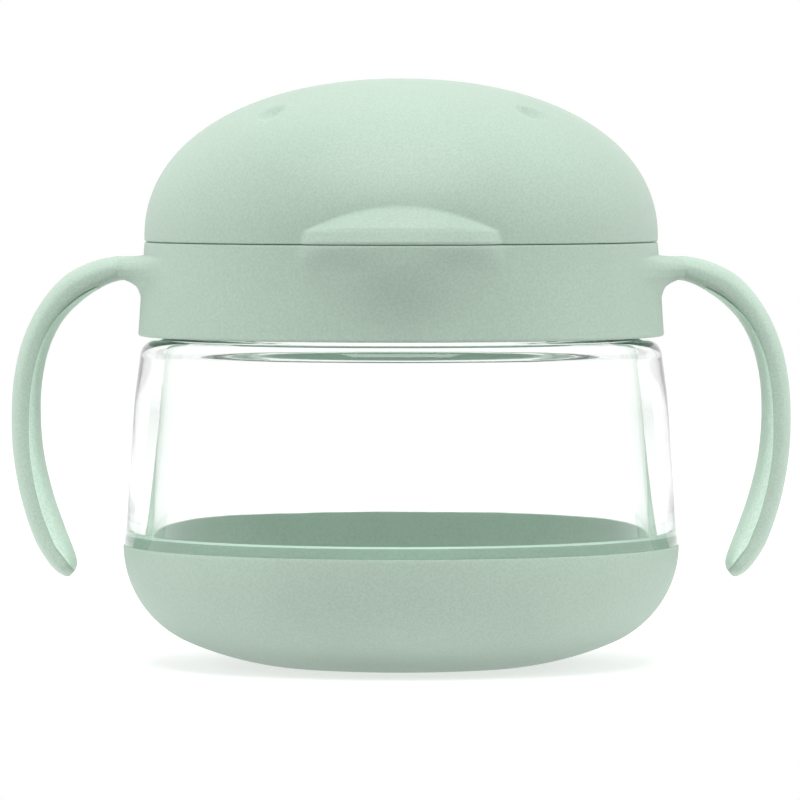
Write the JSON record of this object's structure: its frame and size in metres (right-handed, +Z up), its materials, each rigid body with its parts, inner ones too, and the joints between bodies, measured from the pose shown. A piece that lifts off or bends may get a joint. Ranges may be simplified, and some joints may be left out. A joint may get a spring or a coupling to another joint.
{
  "type": "sippy cup",
  "caption": "Toddler drinking cup with a clear flared wall, a rounded base, a screw collar with open hook handles, and a hinged dome that covers a soft spout.",
  "frame": {"origin": "centre of the resting plane under the foot ring, on the cup's axis", "axes": "+Z up along the cup's axis, +X towards the right handle, -Y towards the thumb tab of the dome, so the lid hinge is at +Y"},
  "size_m": [0.1368, 0.0974, 0.1028],
  "materials": {
    "sage_shell": "fine matt moulded plastic",
    "sage_grip": "soft-touch grip",
    "sage_foot": "soft non-slip ring",
    "clear_wall": "clear polished",
    "soft_silicone": "satin translucent silicone",
    "white_insert": "matt",
    "pin_steel": "bright"
  },
  "bodies": {
    "cup": {"base_bowl": "sage_shell", "foot_ring": "sage_foot", "clear_wall": "clear_wall"},
    "insert": {"spout_plate": "sage_shell", "rim_gasket": "soft_silicone"},
    "collar": {"handle_collar": "sage_shell", "right_grip": "sage_grip", "left_grip": "sage_grip", "hinge_pin": "pin_steel"},
    "dome": {"dome_lid": "sage_shell", "spout_stopper": "soft_silicone"},
    "spout": {"soft_spout": "soft_silicone", "spout_retainer": "white_insert"},
    "flow_valve": {"flow_valve": "soft_silicone"},
    "vent_valve": {"vent_valve": "soft_silicone"}
  },
  "joints": [
    {"name": "lid_lift", "type": "slide", "parent": "cup", "child": "insert", "axis": [0, 0, 1], "range_m": [0, 0.018]},
    {"name": "collar_turn", "type": "hinge", "parent": "insert", "child": "collar", "pos_m": [0, 0, 0.065], "axis": [0, 0, 1], "range_deg": [0, 540]},
    {"name": "dome_hinge", "type": "hinge", "parent": "collar", "child": "dome", "pos_m": [0, 0.0462, 0.0749], "axis": [-1, 0, 0], "range_deg": [0, 120]},
    {"name": "spout_push_out", "type": "slide", "parent": "insert", "child": "spout", "axis": [0, 0, -1], "range_m": [0, 0.042]},
    {"name": "flow_valve_pull", "type": "slide", "parent": "spout", "child": "flow_valve", "axis": [0, 0, -1], "range_m": [0, 0.01]},
    {"name": "vent_valve_pull", "type": "slide", "parent": "insert", "child": "vent_valve", "axis": [0, 0, -1], "range_m": [0, 0.01]}
  ],
  "couplings": [
    {"joint": "lid_lift", "follows": "collar_turn", "m_per_rad": 0.0019099}
  ]
}
